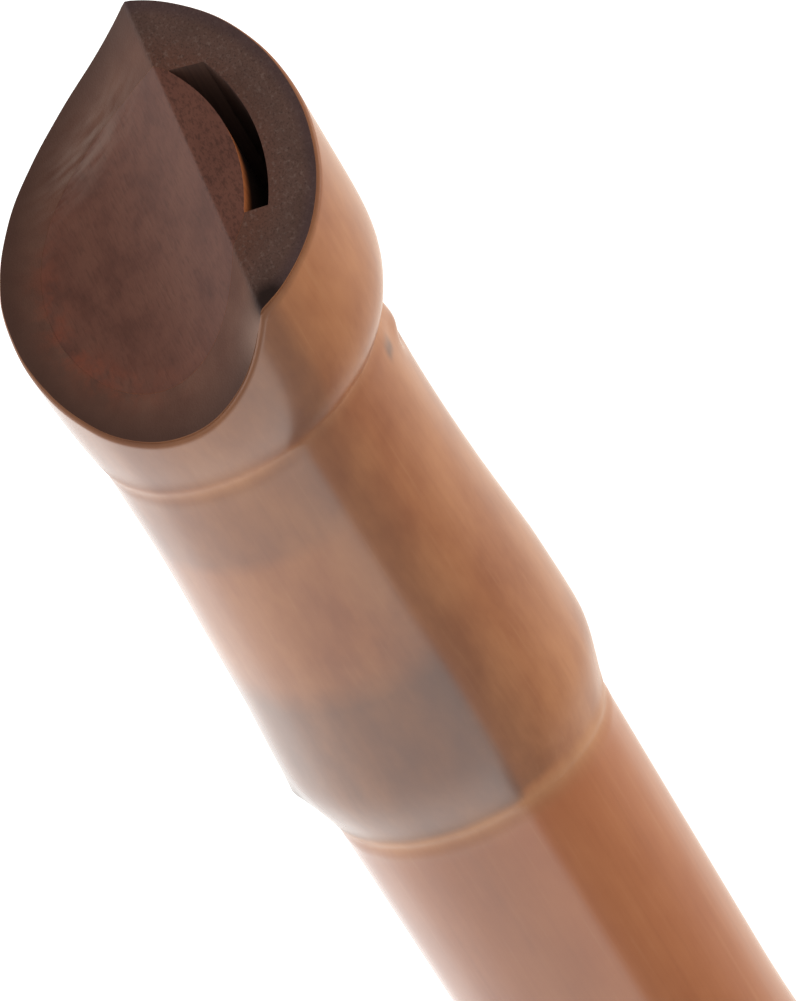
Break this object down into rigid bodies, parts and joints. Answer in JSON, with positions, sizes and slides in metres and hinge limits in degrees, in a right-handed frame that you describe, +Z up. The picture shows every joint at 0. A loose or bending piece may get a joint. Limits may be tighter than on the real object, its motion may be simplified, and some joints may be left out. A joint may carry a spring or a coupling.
{
  "type": "bamboo flute",
  "caption": "End-blown duct flute cut from one natural bamboo culm, with a beaked slanted mouth, arched windway slot, wooden block, window and finger holes.",
  "frame": {"origin": "centre of the bore at the foot's flat face", "axes": "+Z up the bore towards the mouth, -Y towards the windway, window and finger holes, +X towards the high side of the slanted mouth"},
  "size_m": [0.0286, 0.0293, 0.5214],
  "materials": {
    "bamboo": "clear satin lacquer over orange-brown bamboo, with dark stained cut faces at the mouth",
    "block_wood": "dark reddish brown hardwood, sanded flush and oiled"
  },
  "bodies": {
    "root": {"bamboo_body": "bamboo", "windway_block": "block_wood"}
  },
  "joints": []
}
